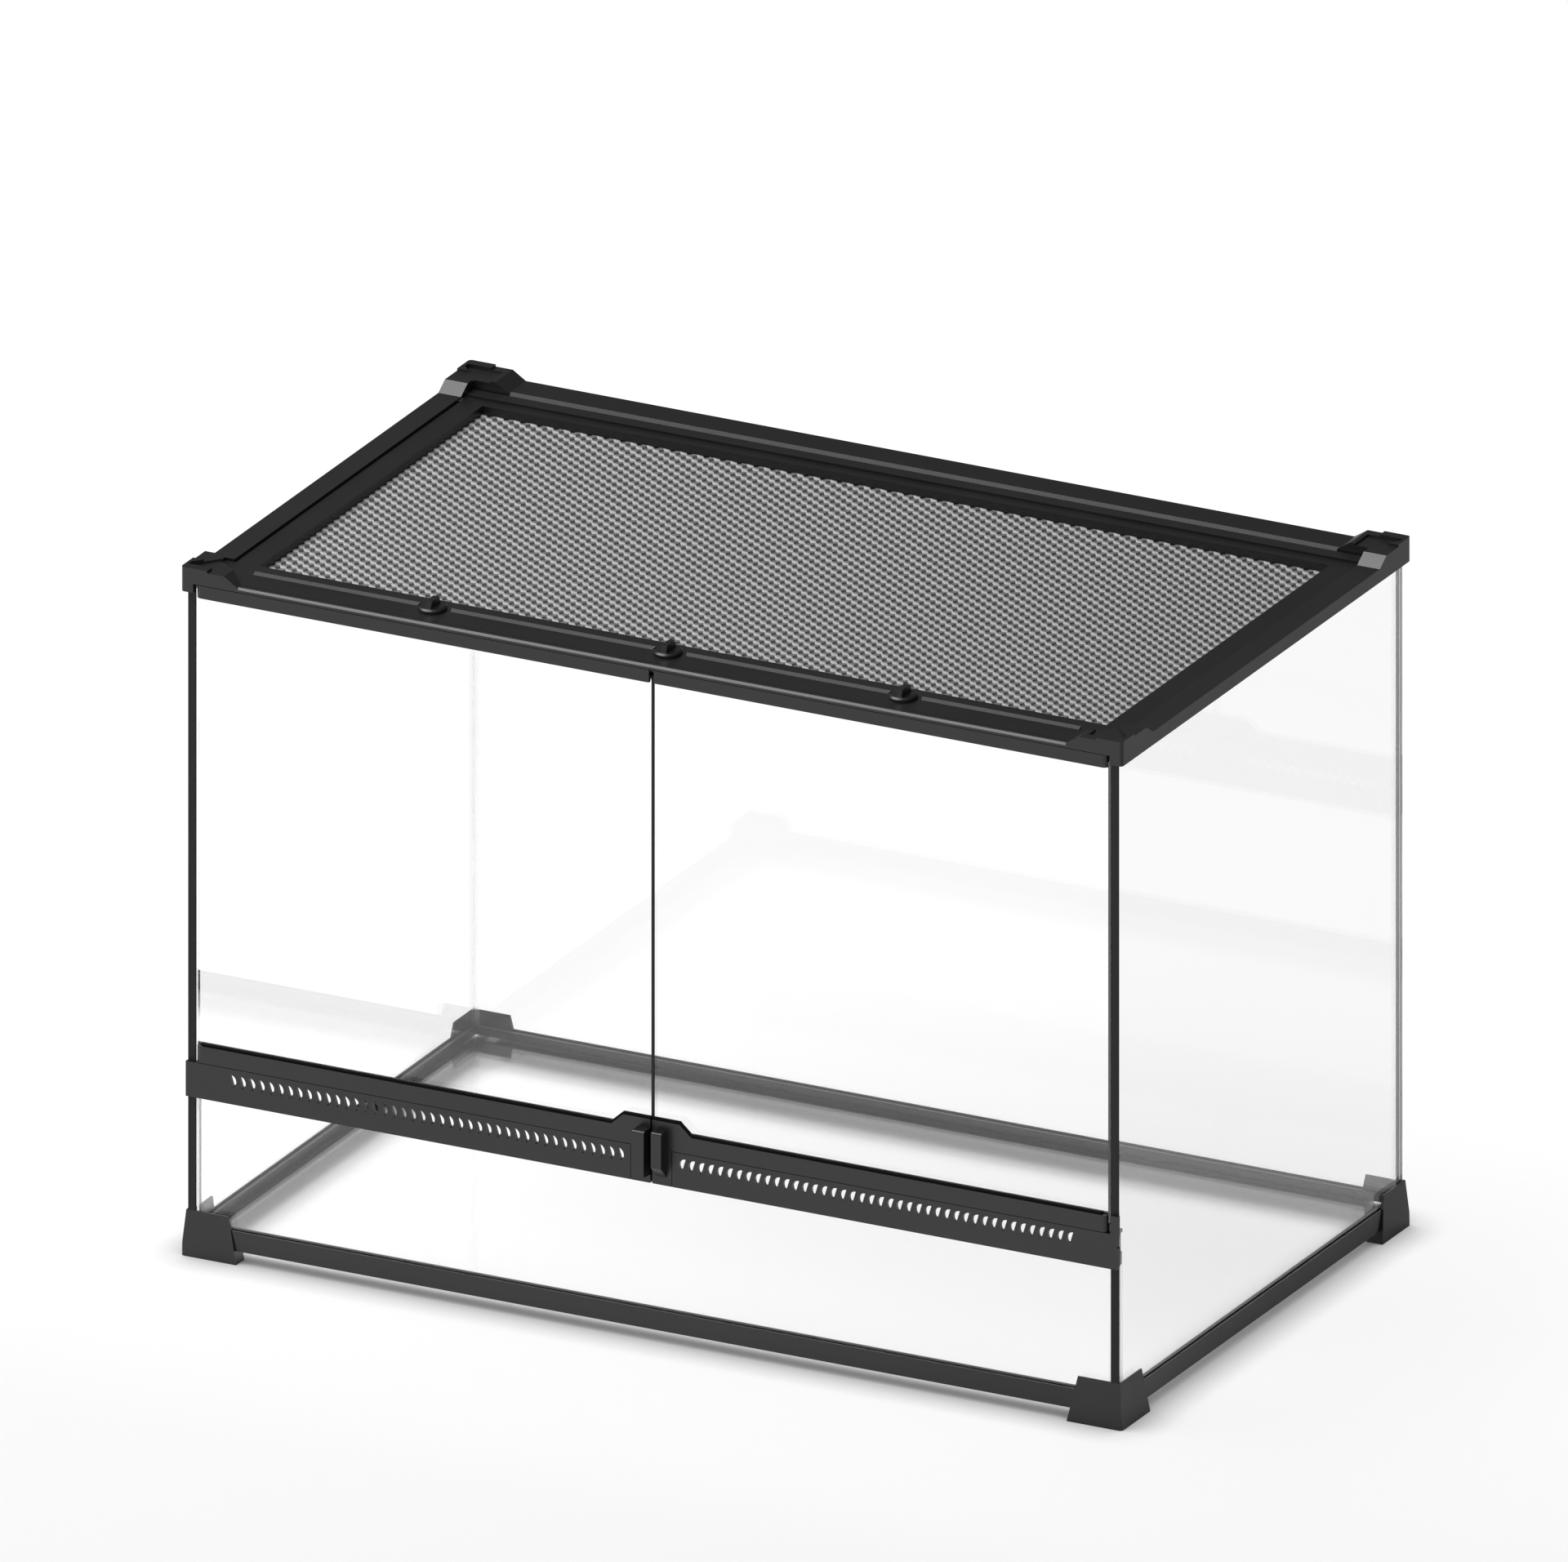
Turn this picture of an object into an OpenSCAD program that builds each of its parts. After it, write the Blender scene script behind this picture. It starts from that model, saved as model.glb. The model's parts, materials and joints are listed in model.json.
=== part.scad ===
// Front-opening glass terrarium with a black moulded frame, two glass doors and a screened lid.
// Every module is drawn about the middle of the tank and then moved back by half the door pulls,
// so that the origin is the middle of the whole object on the floor. Front is -Y, right is +X.

/* [Tank] */
// Width of the frame, left to right
tank_w = 500; // [440:1:640]
// Depth of the frame, front to back
tank_d = 300; // [240:1:460]
// Height from the floor to the top of the corner caps
tank_h = 350; // [290:1:480]
// Rounding of the upright corners of feet and caps
corner_r = 2; // [0.5:0.5:3]
// Clearance between parts that pass each other
part_gap = 0.3; // [0.2:0.05:0.4]

/* [Glass] */
// Thickness of every pane
glass_t = 4; // [3:0.5:5]
// Distance from the outside of the frame to the outside of the fixed panes
glass_inset = 3; // [2.8:0.1:3.6]
// Clearance between a pane and its groove
glass_gap = 0.1; // [0.05:0.05:0.2]
// Leg of the silicone bead in each inside corner
bead_leg = 2.5; // [1.5:0.5:4]
// Thickness of the dark trim on the front ends of the side panes
trim_t = 1; // [0.5:0.1:1]

/* [Base frame] */
// Height of the corner feet
foot_h = 23; // [19:0.5:30]
// Length of each foot arm on the floor
foot_arm = 29.5; // [24:0.5:40]
// Lean of the outer faces of a foot over its height
foot_draft = 2; // [0:0.1:2]
// Shortening of a foot arm over its height
foot_taper = 5; // [0:0.5:8]
// Length of a base rail inside each foot
foot_grip = 9; // [4:0.5:9]
// Height of the base rails above the floor
base_lift = 6.3; // [4:0.1:8]
// Height of a base rail
base_rail_h = 10; // [8:0.5:12]
// Distance from the outside of the feet to the face of the base rails
base_rail_inset = 2; // [1.8:0.1:2.2]
// Thickness of the web under the panes
base_web_t = 2; // [1:0.5:3]
// Thickness of the lip inside the side panes
base_lip_t = 1.6; // [1:0.1:2.5]
// Width of the ledge that carries the floor pane
base_ledge_w = 5; // [3:0.5:6]

/* [Ventilation strip] */
// Height of the strip's lower edge above the floor
strip_z = 81.4; // [60:0.1:110]
// Height of the strip
strip_h = 17.8; // [16:0.1:24]
// Thickness of the slotted front wall
strip_wall = 2; // [1.2:0.1:2]
// Height of the groove that takes the lower front pane
strip_groove = 4.6; // [3:0.1:6]
// Distance between slots
slot_pitch = 5.02; // [4.4:0.02:8]
// Width of a half-moon slot
slot_w = 2.6; // [1.4:0.1:2.8]
// Height of a slot
slot_h = 6.6; // [4:0.1:7]
// Radius of the round side of a slot
slot_r = 3.5; // [3.5:0.1:6]
// Lean of a slot from upright
slot_lean = 17; // [0:1:25]
// Distance from the middle to the first slot
slot_start = 16; // [14:0.5:30]
// Plain margin between the last slot and the end of the strip
slot_margin = 28; // [20:1:60]

/* [Top frame] */
// Height of the corner caps
cap_h = 12.4; // [11:0.1:16]
// Height of the top rails
top_rail_h = 6.8; // [6.6:0.1:7.4]
// Width of the side rails
side_rail_w = 12; // [11:0.5:16]
// Width of the back rail
back_rail_w = 18.4; // [14:0.2:24]
// Length of a cap arm along the front and back
cap_arm_x = 30; // [26:0.5:40]
// Length of a cap arm along the sides
cap_arm_y = 32.5; // [26:0.5:40]
// Length of the slope at the end of a cap arm
cap_slope = 7; // [3:0.5:9]
// Height of the corner block above the arms of a cap
cap_step = 1.1; // [0.5:0.1:2]
// Depth of the pane grooves in the top frame
top_groove = 3.4; // [2:0.1:3.6]
// Width of the ledge that carries the lid along the sides
side_ledge_w = 6; // [3:0.5:8]

/* [Doors] */
// Height of the door bottom rail
door_bottom_h = 8.5; // [7:0.5:12]
// Height of the door top rail
door_top_h = 6.4; // [5:0.2:8]
// Thickness of the front lip of a door rail
door_lip_t = 1.8; // [1.4:0.1:1.8]
// Thickness of the back lip of a door rail
door_back_lip_t = 1.5; // [1:0.1:1.6]
// Thickness of the web of a door rail
door_web_t = 3.5; // [3:0.1:4]
// Distance from the outside of the frame to the door hinge axis
door_axis_inset = 10.8; // [10.6:0.1:12]
// Radius of a rail end about the hinge axis
door_end_r = 3; // [2.6:0.1:3]
// Radius of the door hinge pins
door_pin_r = 1.25; // [1:0.05:1.4]
// Radial clearance of every pin in its hole
pin_gap = 0.05; // [0.02:0.01:0.08]
// Width of the gap between the two door panes
door_split = 1.8; // [1.4:0.1:3]
// Height of the centre tabs above the strip
tab_h = 14.5; // [13:0.5:20]
// Half width of the flat top of the tabs
tab_flat_w = 15; // [12:0.5:18]
// Half width of the tabs at the rail
tab_w = 21.3; // [18.5:0.1:26]
// Half width of the plates in front of the strip
tab_plate_w = 10.8; // [10:0.1:13]
// Width of the left pull
pull_w = 6.4; // [4:0.1:7]
// Width of the right pull
blade_w = 5.4; // [3:0.1:6]
// Distance from the middle to the right pull
blade_x = 2.8; // [2:0.1:4]
// Projection of the left pull, the one that stands out most
pull_proud = 7.4; // [4:0.1:12]
// How much less the right pull stands out
pull_step = 1.4; // [0.4:0.1:2]
// Height of a pull
pull_h = 24; // [16:0.5:26]

/* [Lid] */
// Thickness of the lid frame
lid_t = 2.2; // [2:0.1:2.4]
// Radius of the lid's rear edge about its hinge axis
lid_knuckle_r = 2.8; // [2.6:0.1:3]
// Radius of the lid hinge pins
lid_pin_r = 1.5; // [1.2:0.1:1.6]
// Gap between the lid and the side rails
lid_side_gap = 0.8; // [0.3:0.1:1.2]
// Length of a lid knuckle
lid_knuckle_l = 11; // [8:0.5:14]
// Distance from the outside of the frame to the screen opening at the sides
mesh_side = 25; // [24.5:0.5:45]
// Distance from the front of the frame to the screen opening
mesh_front = 32.5; // [30:0.5:50]
// Distance from the back of the frame to the screen opening
mesh_back = 35.5; // [34:0.5:60]
// Width of the sunken floor in front of the opening
pocket_front_w = 11.5; // [8:0.5:14]
// Width of the sunken floor behind the opening
pocket_back_w = 7; // [4:0.5:9]
// Depth of the sunken floor
pocket_depth = 1.2; // [0.6:0.1:1.3]
// Height of the ridge along the front edge of the sunken floor
ridge_h = 0.9; // [0.4:0.1:1.4]
// Depth of the screen below the top of the lid
mesh_drop = 5.4; // [2.4:0.1:5.6]
// Thickness of the screen
mesh_t = 1.2; // [0.8:0.1:1.4]
// Width of the screen clamped under the ledge
mesh_lap = 3.5; // [2:0.5:5]
// Length of a screen cell, left to right
mesh_cell_x = 31.4; // [30:0.2:60]
// Length of a screen cell, front to back
mesh_cell_y = 21.8; // [20:0.2:50]
// Width of the strands left between the screen's openings
mesh_strand = 1.6; // [1:0.1:4]

/* [Lid locks] */
// Distance of the outer locks from the middle
lock_x = 125; // [80:1:150]
// Distance from the front of the frame to the lock axes
lock_r = 17.5; // [17.2:0.1:18.5]
// Length of a knob base
knob_l = 15; // [13:0.5:16]
// Width of a knob base
knob_w = 12.8; // [8:0.2:13]
// Height of a knob base
knob_h = 2.2; // [2:0.1:3]
// Width of the slope around the top of a knob base
knob_slope_w = 0.8; // [0.4:0.1:1.2]
// Height of the thumb fin on the base
fin_h = 3.3; // [1.5:0.1:3.3]
// Thickness of the thumb fin
fin_t = 3; // [1.4:0.1:4]
// Radius of a lock shaft
shaft_r = 3; // [2.4:0.1:3]
// Reach of a cam from its axis
cam_reach = 8.8; // [7:0.1:9]
// Width of a cam
cam_w = 6.4; // [5.4:0.2:6.8]
// Thickness of a cam
cam_t = 2.4; // [1.6:0.1:3]

/* [Hidden] */

// Round shapes are true circles; this only sets how finely they are drawn
$fn = 48;
// Overshoot of a cutting shape beyond what it cuts
cut = 1;

half_w = tank_w / 2;
half_d = tank_d / 2;
frame_shift = pull_proud / 2;

// Distances r are counted inwards from the outside of the frame
glass_in = glass_inset + glass_t;
groove_out = glass_inset - glass_gap;
groove_in = glass_in + glass_gap;
foot_w = groove_in + base_lip_t;
base_top = base_lift + base_rail_h;
glass_seat = base_lift + base_web_t;
floor_top = glass_seat + glass_t;
rail_end = foot_arm - foot_grip;

strip_top = strip_z + strip_h;
strip_glass_top = strip_z + strip_groove;
strip_back_t = 1.6;
strip_shelf_t = 1.6;
strip_shelf_z = strip_top - strip_shelf_t;
strip_mid_z = strip_glass_top + 2;
slot_z = (strip_mid_z + strip_shelf_z) / 2 + 0.8;
strip_end_r = 2.7;
strip_lug_l = 4.1;
strip_lug_h = 9.3;
strip_block_l = 9.5;

top_z = tank_h - cap_h;
rail_z = top_z + top_rail_h;
glass_top = top_z + top_groove;
lid_z = rail_z - lid_t;
lid_seat = lid_z - 0.1;
arm_z = tank_h - cap_step;

door_z = strip_top + part_gap;
door_top_z = lid_z - part_gap;
door_glass_r = door_lip_t + glass_gap;
door_groove_in = door_glass_r + glass_t + glass_gap;
door_t = door_groove_in + door_back_lip_t;
door_axis_x = half_w - door_axis_inset;
door_end_x = door_axis_x + door_end_r;
door_swing_r = norm([door_end_r, door_t - door_end_r]) + part_gap;
door_glass_z = door_z + door_web_t;
door_glass_top = door_top_z - door_web_t;
door_room_r = max(door_end_r + door_swing_r, door_t + part_gap);
pin_in_web = door_web_t - 0.3;
pin_in_frame = 4.2;
front_corner_r = 6.6;

lip_w = 3.7;
lip_chamfer = 1;
lip_web_t = 0.9;
shelf_w = 4.6;
shelf_in = door_room_r + shelf_w;
lid_front_r = lip_w + part_gap;
lid_rebate_r = door_room_r + 1.5 + part_gap;
lid_axis_y = half_d - back_rail_w - part_gap - lid_knuckle_r;
lid_axis_z = rail_z - lid_knuckle_r;
lid_side_r = side_rail_w + lid_side_gap;
pocket_z = rail_z - pocket_depth;
mesh_top = rail_z - mesh_drop;
opening_x = half_w - mesh_side;
opening_front = -half_d + mesh_front;
opening_back = half_d - mesh_back;
rib_t = 1.4;
rib_h = 2.6;
retainer_w = 2;
retainer_t = 1;
slope_run = 2.6;
slope_drop = 1.2;
rail_start = door_split / 2 + 0.4;
ridge_w = 2.4;
pocket_front = opening_front - pocket_front_w;
pocket_back = opening_back + pocket_back_w;

lock_xs = [-lock_x, 0, lock_x];
lock_y = -half_d + lock_r;
knob_z = rail_z + 0.1;
cam_top = top_z - part_gap;
neck_r = 2.2;

// Basic shapes

module placed() {
    translate([0, frame_shift, 0]) children();
}

module sided(side) {
    if (side < 0) mirror([1, 0, 0]) children();
    else children();
}

module at_front() {
    mirror([0, 1, 0]) children();
}

module block(low, high) {
    translate(low) cube(high - low);
}

// A profile drawn as (y, z), run from x0 to x1
module along_x(x0, x1) {
    translate([x0, 0, 0]) rotate([90, 0, 90]) linear_extrude(x1 - x0) children();
}

// A profile drawn as (x, z), run from y0 to y1
module along_y(y0, y1) {
    translate([0, y1, 0]) rotate([90, 0, 0]) linear_extrude(y1 - y0) children();
}

// A profile given as (r, z) and drawn at the right or at the back
module right_profile(points) {
    polygon([for (p = points) [half_w - p[0], p[1]]]);
}

module back_profile(points) {
    polygon([for (p = points) [half_d - p[0], p[1]]]);
}

module frame_plan() {
    square([tank_w, tank_d - 2 * corner_r], center = true);
    square([tank_w - 2 * corner_r, tank_d], center = true);
    for (sx = [-1, 1], sy = [-1, 1])
        translate([sx * (half_w - corner_r), sy * (half_d - corner_r)]) circle(corner_r);
}

// Base frame

function base_rail_points(c) = [
    [base_rail_inset - c, base_lift - c], [base_rail_inset - c, base_top + c],
    [groove_out, base_top + c], [groove_out, glass_seat],
    [groove_in, glass_seat], [groove_in, base_top + c],
    [foot_w + c, base_top + c], [foot_w + c, glass_seat + c],
    [foot_w + base_ledge_w + c, glass_seat + c], [foot_w + base_ledge_w + c, base_lift - c]];

// The whole section of a rail's seat in a foot, without its groove
function base_socket_points(c) = [
    [base_rail_inset - c, base_lift - c], [base_rail_inset - c, base_top + c],
    [foot_w + cut, base_top + c], [foot_w + cut, base_lift - c]];

module side_base_rail(side) {
    end_y = half_d - rail_end;
    placed() sided(side) along_y(-end_y, end_y) right_profile(base_rail_points(0));
}

module back_base_rail() {
    end_x = half_w - rail_end;
    along_x(-end_x, end_x) back_profile(base_rail_points(0));
}

module foot_plan() {
    intersection() {
        frame_plan();
        difference() {
            translate([half_w - foot_arm, half_d - foot_arm]) square(foot_arm);
            translate([half_w - foot_arm - foot_w, half_d - foot_arm - foot_w]) square(foot_arm);
        }
    }
}

function foot_side(half) = [
    [half - foot_arm, 0], [half, 0],
    [half - foot_draft, foot_h], [half - foot_arm + foot_taper, foot_h]];

// The spaces that the side pane and the pane across it take up, with their clearance
module pane_room(low, high) {
    block([half_w - groove_in, -half_d, low], [half_w - groove_out, half_d - groove_out, high]);
    block([-half_w, half_d - groove_in, low], [half_w - groove_in, half_d - groove_out, high]);
}

// A corner foot, drawn at the back right
module back_foot() {
    difference() {
        intersection() {
            linear_extrude(foot_h) foot_plan();
            along_y(half_d - 2 * foot_arm, half_d + cut) polygon(foot_side(half_w));
            along_x(half_w - 2 * foot_arm, half_w + cut) polygon(foot_side(half_d));
        }
        pane_room(glass_seat, foot_h + cut);
        block([half_w - foot_arm - cut, half_d - foot_arm - cut, base_top],
              [half_w - groove_in, half_d - groove_in, foot_h + cut]);
        along_y(-half_d, half_d - rail_end + glass_gap)
            right_profile(base_socket_points(glass_gap));
        along_x(-half_w, half_w - rail_end + glass_gap)
            back_profile(base_socket_points(glass_gap));
    }
}

// Glass

module side_pane(side) {
    end_y = half_d - glass_inset;
    placed() sided(side)
        block([half_w - glass_in, -end_y, glass_seat], [half_w - glass_inset, end_y, glass_top]);
}

module cross_pane(top) {
    end_x = half_w - glass_in - 2 * glass_gap;
    block([-end_x, half_d - glass_in, glass_seat], [end_x, half_d - glass_inset, top]);
}

module edge_trim(side) {
    placed() sided(side)
        block([half_w - glass_in, -half_d + glass_inset - trim_t, foot_h],
              [half_w - glass_inset, -half_d + glass_inset, top_z]);
}

module corner_bead(top) {
    x = half_w - glass_in;
    y = half_d - glass_in;
    translate([0, 0, base_top])
        linear_extrude(top - base_top) polygon([[x, y], [x - bead_leg, y], [x, y - bead_leg]]);
}

// Ventilation strip, drawn at the back and turned to the front

module slot_shape() {
    rotate(slot_lean) intersection() {
        square([slot_w, slot_h], center = true);
        translate([slot_w / 2 - slot_r, 0]) circle(slot_r, $fn = 32);
    }
}

slot_count = floor((half_w - slot_margin - slot_start) / slot_pitch) + 1;
slot_places = [for (i = [0 : slot_count - 1]) slot_start + i * slot_pitch];

module slot_row() {
    for (x = slot_places)
        translate([x, -half_d + strip_wall + cut, slot_z])
            rotate([90, 0, 0]) linear_extrude(strip_wall + 2 * cut) mirror([1, 0]) slot_shape();
}

function strip_points() = [
    [0, strip_z], [0, strip_top], [door_t + part_gap, strip_top],
    [door_t + part_gap, strip_top + door_web_t], [door_t + part_gap + strip_back_t, strip_top + door_web_t],
    [door_t + part_gap + strip_back_t, strip_shelf_z], [strip_wall, strip_shelf_z],
    [strip_wall, strip_mid_z], [groove_in + strip_back_t, strip_mid_z],
    [groove_in + strip_back_t, strip_z], [groove_in, strip_z],
    [groove_in, strip_glass_top], [groove_out, strip_glass_top], [groove_out, strip_z]];

module strip_body() {
    end_x = half_w - groove_in;
    wrap_x = half_w - strip_end_r;
    wrap_y = half_d - strip_wall + glass_gap;
    lug_x = half_w - door_axis_inset + door_end_r + 1.6;
    at_front() {
        difference() {
            along_x(-end_x, end_x) back_profile(strip_points());
            for (side = [-1, 1]) sided(side)
                block([door_axis_x - door_swing_r - part_gap, half_d - door_t - 2 * strip_back_t, strip_top],
                      [end_x + cut, half_d, strip_top + door_web_t + cut]);
        }
        for (side = [-1, 1]) sided(side) {
            block([end_x - strip_block_l, half_d - door_t, strip_mid_z], [end_x, half_d, strip_top]);
            block([end_x - cut, wrap_y, strip_z], [wrap_x, half_d, strip_top]);
        }
        block([lug_x, wrap_y, strip_top - cut], [lug_x + strip_lug_l, half_d, strip_top + strip_lug_h]);
        block([-tab_plate_w - 1, half_d - door_lip_t - part_gap - strip_wall, strip_mid_z - cut],
              [tab_plate_w + 1, half_d - strip_wall / 2, strip_shelf_z + cut]);
        block([wrap_x - cut, wrap_y, strip_z + strip_back_t],
              [wrap_x + 0.8, half_d, strip_mid_z + strip_groove]);
    }
}

module vent_strip() {
    color("#262626") placed() difference() {
        strip_body();
        block([-tab_plate_w - part_gap, -half_d - cut, strip_z - cut],
              [tab_plate_w + part_gap, -half_d + door_lip_t + part_gap, strip_top + cut]);
        slot_row();
        mirror([1, 0, 0]) slot_row();
        for (side = [-1, 1])
            translate([side * door_axis_x, -half_d + door_end_r, strip_top - pin_in_frame - part_gap])
                cylinder(pin_in_frame + part_gap + cut, r = door_pin_r + pin_gap);
    }
}

// Top frame

function top_rail_points() = [
    [0, top_z], [0, rail_z], [side_rail_w, rail_z], [side_rail_w, lid_seat],
    [side_rail_w + side_ledge_w, lid_seat], [side_rail_w + side_ledge_w, lid_seat - 3.2],
    [side_rail_w, lid_seat - 3.2], [side_rail_w, top_z],
    [groove_in, top_z], [groove_in, glass_top], [groove_out, glass_top], [groove_out, top_z]];

function back_rail_points() = [
    [0, top_z], [0, rail_z], [back_rail_w - slope_run, rail_z], [back_rail_w, rail_z - slope_drop],
    [back_rail_w, top_z], [groove_in, top_z], [groove_in, glass_top],
    [groove_out, glass_top], [groove_out, top_z]];

function front_rail_points() = [
    [0, lid_z], [0, rail_z - lip_chamfer], [lip_chamfer, rail_z], [lip_w, rail_z],
    [lip_w, lid_z + lip_web_t], [lid_rebate_r - part_gap, lid_z + lip_web_t],
    [lid_rebate_r - part_gap, lid_seat], [shelf_in, lid_seat], [shelf_in, top_z],
    [door_room_r, top_z], [door_room_r, lid_z]];

function cap_side(half, arm) = [
    [half - arm, top_z], [half, top_z], [half, arm_z],
    [half - arm + cap_slope, arm_z], [half - arm, rail_z]];

module side_top_rail(side) {
    end_y = half_d - cap_arm_y;
    placed() sided(side) along_y(-end_y, end_y) right_profile(top_rail_points());
}

// A corner cap, drawn at the back right
module cap_body() {
    step_x = side_rail_w + 2;
    step_y = side_rail_w + 1;
    rim = 5.2;
    difference() {
        intersection() {
            translate([0, 0, top_z]) linear_extrude(cap_h) frame_plan();
            union() {
                along_x(half_w - side_rail_w, half_w) polygon(cap_side(half_d, cap_arm_y));
                along_y(half_d - back_rail_w, half_d) polygon(cap_side(half_w, cap_arm_x));
                block([half_w - step_x, half_d - step_y, arm_z - cut], [half_w, half_d, tank_h]);
            }
        }
        pane_room(top_z - cut, glass_top);
        translate([half_w, half_d, tank_h - cap_step - 0.9]) linear_extrude(cap_step + 2)
            polygon([[-1.8, -rim], [-1.8, -rim - 3], [-side_rail_w, -back_rail_w - 2],
                     [-back_rail_w - 2, -back_rail_w - 2], [-back_rail_w - 2, -rim]]);
    }
}

module back_cap(side) {
    color("#2a2a2a") placed() sided(side) difference() {
        cap_body();
        translate([half_w - side_rail_w - cut, lid_axis_y, lid_axis_z])
            rotate([0, 90, 0]) cylinder(cut + side_rail_w - groove_in - 0.5, r = lid_pin_r + pin_gap);
    }
}

// The line between a front cap and the lid's corner, shifted inwards by c
function lid_corner(c) = [
    [half_w - cap_arm_x - c, -half_d + lip_w + c],
    [half_w - side_rail_w - 2 - c, -half_d + back_rail_w + c],
    [half_w - groove_in - c, -half_d + cap_arm_y - 2 + c],
    [half_w - groove_in - c, -half_d + cap_arm_y - c]];

module front_cap(side) {
    corner = lid_corner(0);
    color("#2a2a2a") placed() sided(side) difference() {
        at_front() cap_body();
        block([0, -half_d - cut, top_z - cut], [half_w - front_corner_r, -half_d + door_room_r, lid_z]);
        translate([0, 0, lid_seat]) linear_extrude(cap_h)
            polygon(concat([[half_w - cap_arm_x - cut, -half_d + lip_w]], corner,
                           [[half_w - groove_in, 0], [half_w - cap_arm_x - cut, 0]]));
        translate([door_axis_x, -half_d + door_end_r, lid_z - cut])
            cylinder(pin_in_frame + part_gap + cut, r = door_pin_r + pin_gap);
    }
}

// Doors, drawn at the right and mirrored for the left

function door_rail_points(low, high, web_low, web_high) = [
    [0, low], [0, high], [door_t, high], [door_t, low],
    [door_groove_in, low], [door_groove_in, web_low], [door_glass_r - glass_gap, web_low],
    [door_glass_r - glass_gap, low]];

// Plan of a door rail, whose outer front corner is round about the hinge axis
module door_rail_plan() {
    translate([rail_start, -half_d]) square([door_axis_x - rail_start, door_t]);
    translate([door_axis_x, -half_d + door_end_r]) square([door_end_r, door_t - door_end_r]);
    translate([door_axis_x, -half_d + door_end_r]) circle(door_end_r);
}

module door_rail_body(low, high, points) {
    intersection() {
        translate([0, 0, low]) linear_extrude(high - low) door_rail_plan();
        along_x(0, half_w) polygon([for (p = points) [-half_d + p[0], p[1]]]);
    }
}

module door_top_rail(side) {
    low = door_top_z - door_top_h;
    points = [[0, low], [0, door_top_z], [door_t, door_top_z], [door_t, low],
              [door_groove_in, low], [door_groove_in, door_glass_top],
              [door_lip_t, door_glass_top], [door_lip_t, low]];
    placed() sided(side) difference() {
        door_rail_body(low, door_top_z, points);
        translate([door_axis_x, -half_d + door_end_r, door_top_z - pin_in_web])
            cylinder(door_web_t, r = door_pin_r + pin_gap);
    }
}

module door_bottom_rail(side) {
    high = door_z + door_bottom_h;
    points = [[0, door_z], [0, high], [door_lip_t, high], [door_lip_t, door_glass_z],
              [door_groove_in, door_glass_z], [door_groove_in, high], [door_t, high], [door_t, door_z]];
    placed() sided(side) difference() {
        door_rail_body(door_z, high, points);
        block([0, -half_d - cut, door_z - cut], [tab_w, -half_d + door_lip_t, high + cut]);
        translate([door_axis_x, -half_d + door_end_r, door_z - cut])
            cylinder(pin_in_web + cut, r = door_pin_r + pin_gap);
    }
}

module door_pane(side) {
    placed() sided(side)
        block([door_split / 2, -half_d + door_glass_r, door_glass_z],
              [door_end_x - 0.5, -half_d + door_glass_r + glass_t, door_glass_top]);
}

module door_pins(side) {
    placed() sided(side) translate([door_axis_x, -half_d + door_end_r, 0]) {
        translate([0, 0, strip_top - pin_in_frame])
            cylinder(pin_in_frame + part_gap + pin_in_web, r = door_pin_r);
        translate([0, 0, door_top_z - pin_in_web])
            cylinder(pin_in_web + part_gap + pin_in_frame, r = door_pin_r);
    }
}

// A pull's outline, drawn as (y, z) in front of the frame's face
module pull_outline(proud, slope) {
    top = strip_top + tab_h - 4;
    nose = 1.2;
    low = top - pull_h;
    translate([-half_d - proud + nose, top - nose]) circle(nose);
    polygon([[-half_d, low], [-half_d, top], [-half_d - proud + nose, top],
             [-half_d - proud, top - nose], [-half_d - proud, low + slope]]);
}

module door_handle(side, pull_x, width, proud, slope) {
    low = strip_z;
    high = door_z + door_bottom_h;
    gap_x = part_gap + 0.2;
    placed() sided(side) {
        along_y(-half_d, -half_d + door_lip_t)
            polygon([[gap_x, low], [tab_plate_w, low], [tab_plate_w, door_z], [tab_w, door_z],
                     [tab_w, high], [tab_flat_w, strip_top + tab_h], [gap_x, strip_top + tab_h]]);
        along_x(pull_x, pull_x + width) pull_outline(proud, slope);
    }
}

// Lid

module lid_plan() {
    right = concat([[half_w - cap_arm_x - part_gap, -half_d + lid_front_r]], lid_corner(part_gap),
                   [[half_w - lid_side_r, -half_d + cap_arm_y - part_gap],
                    [half_w - lid_side_r, half_d - back_rail_w - part_gap]]);
    left = [for (i = [len(right) - 1 : -1 : 0]) [-right[i][0], right[i][1]]];
    polygon(concat(right, left));
}

// A ring around the screen opening, from one distance outside its edge to another
module opening_ring(inner, outer, low, high) {
    difference() {
        block([-opening_x - outer, opening_front - outer, low],
              [opening_x + outer, opening_back + outer, high]);
        block([-opening_x - inner, opening_front - inner, low - cut],
              [opening_x + inner, opening_back + inner, high + cut]);
    }
}

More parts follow.
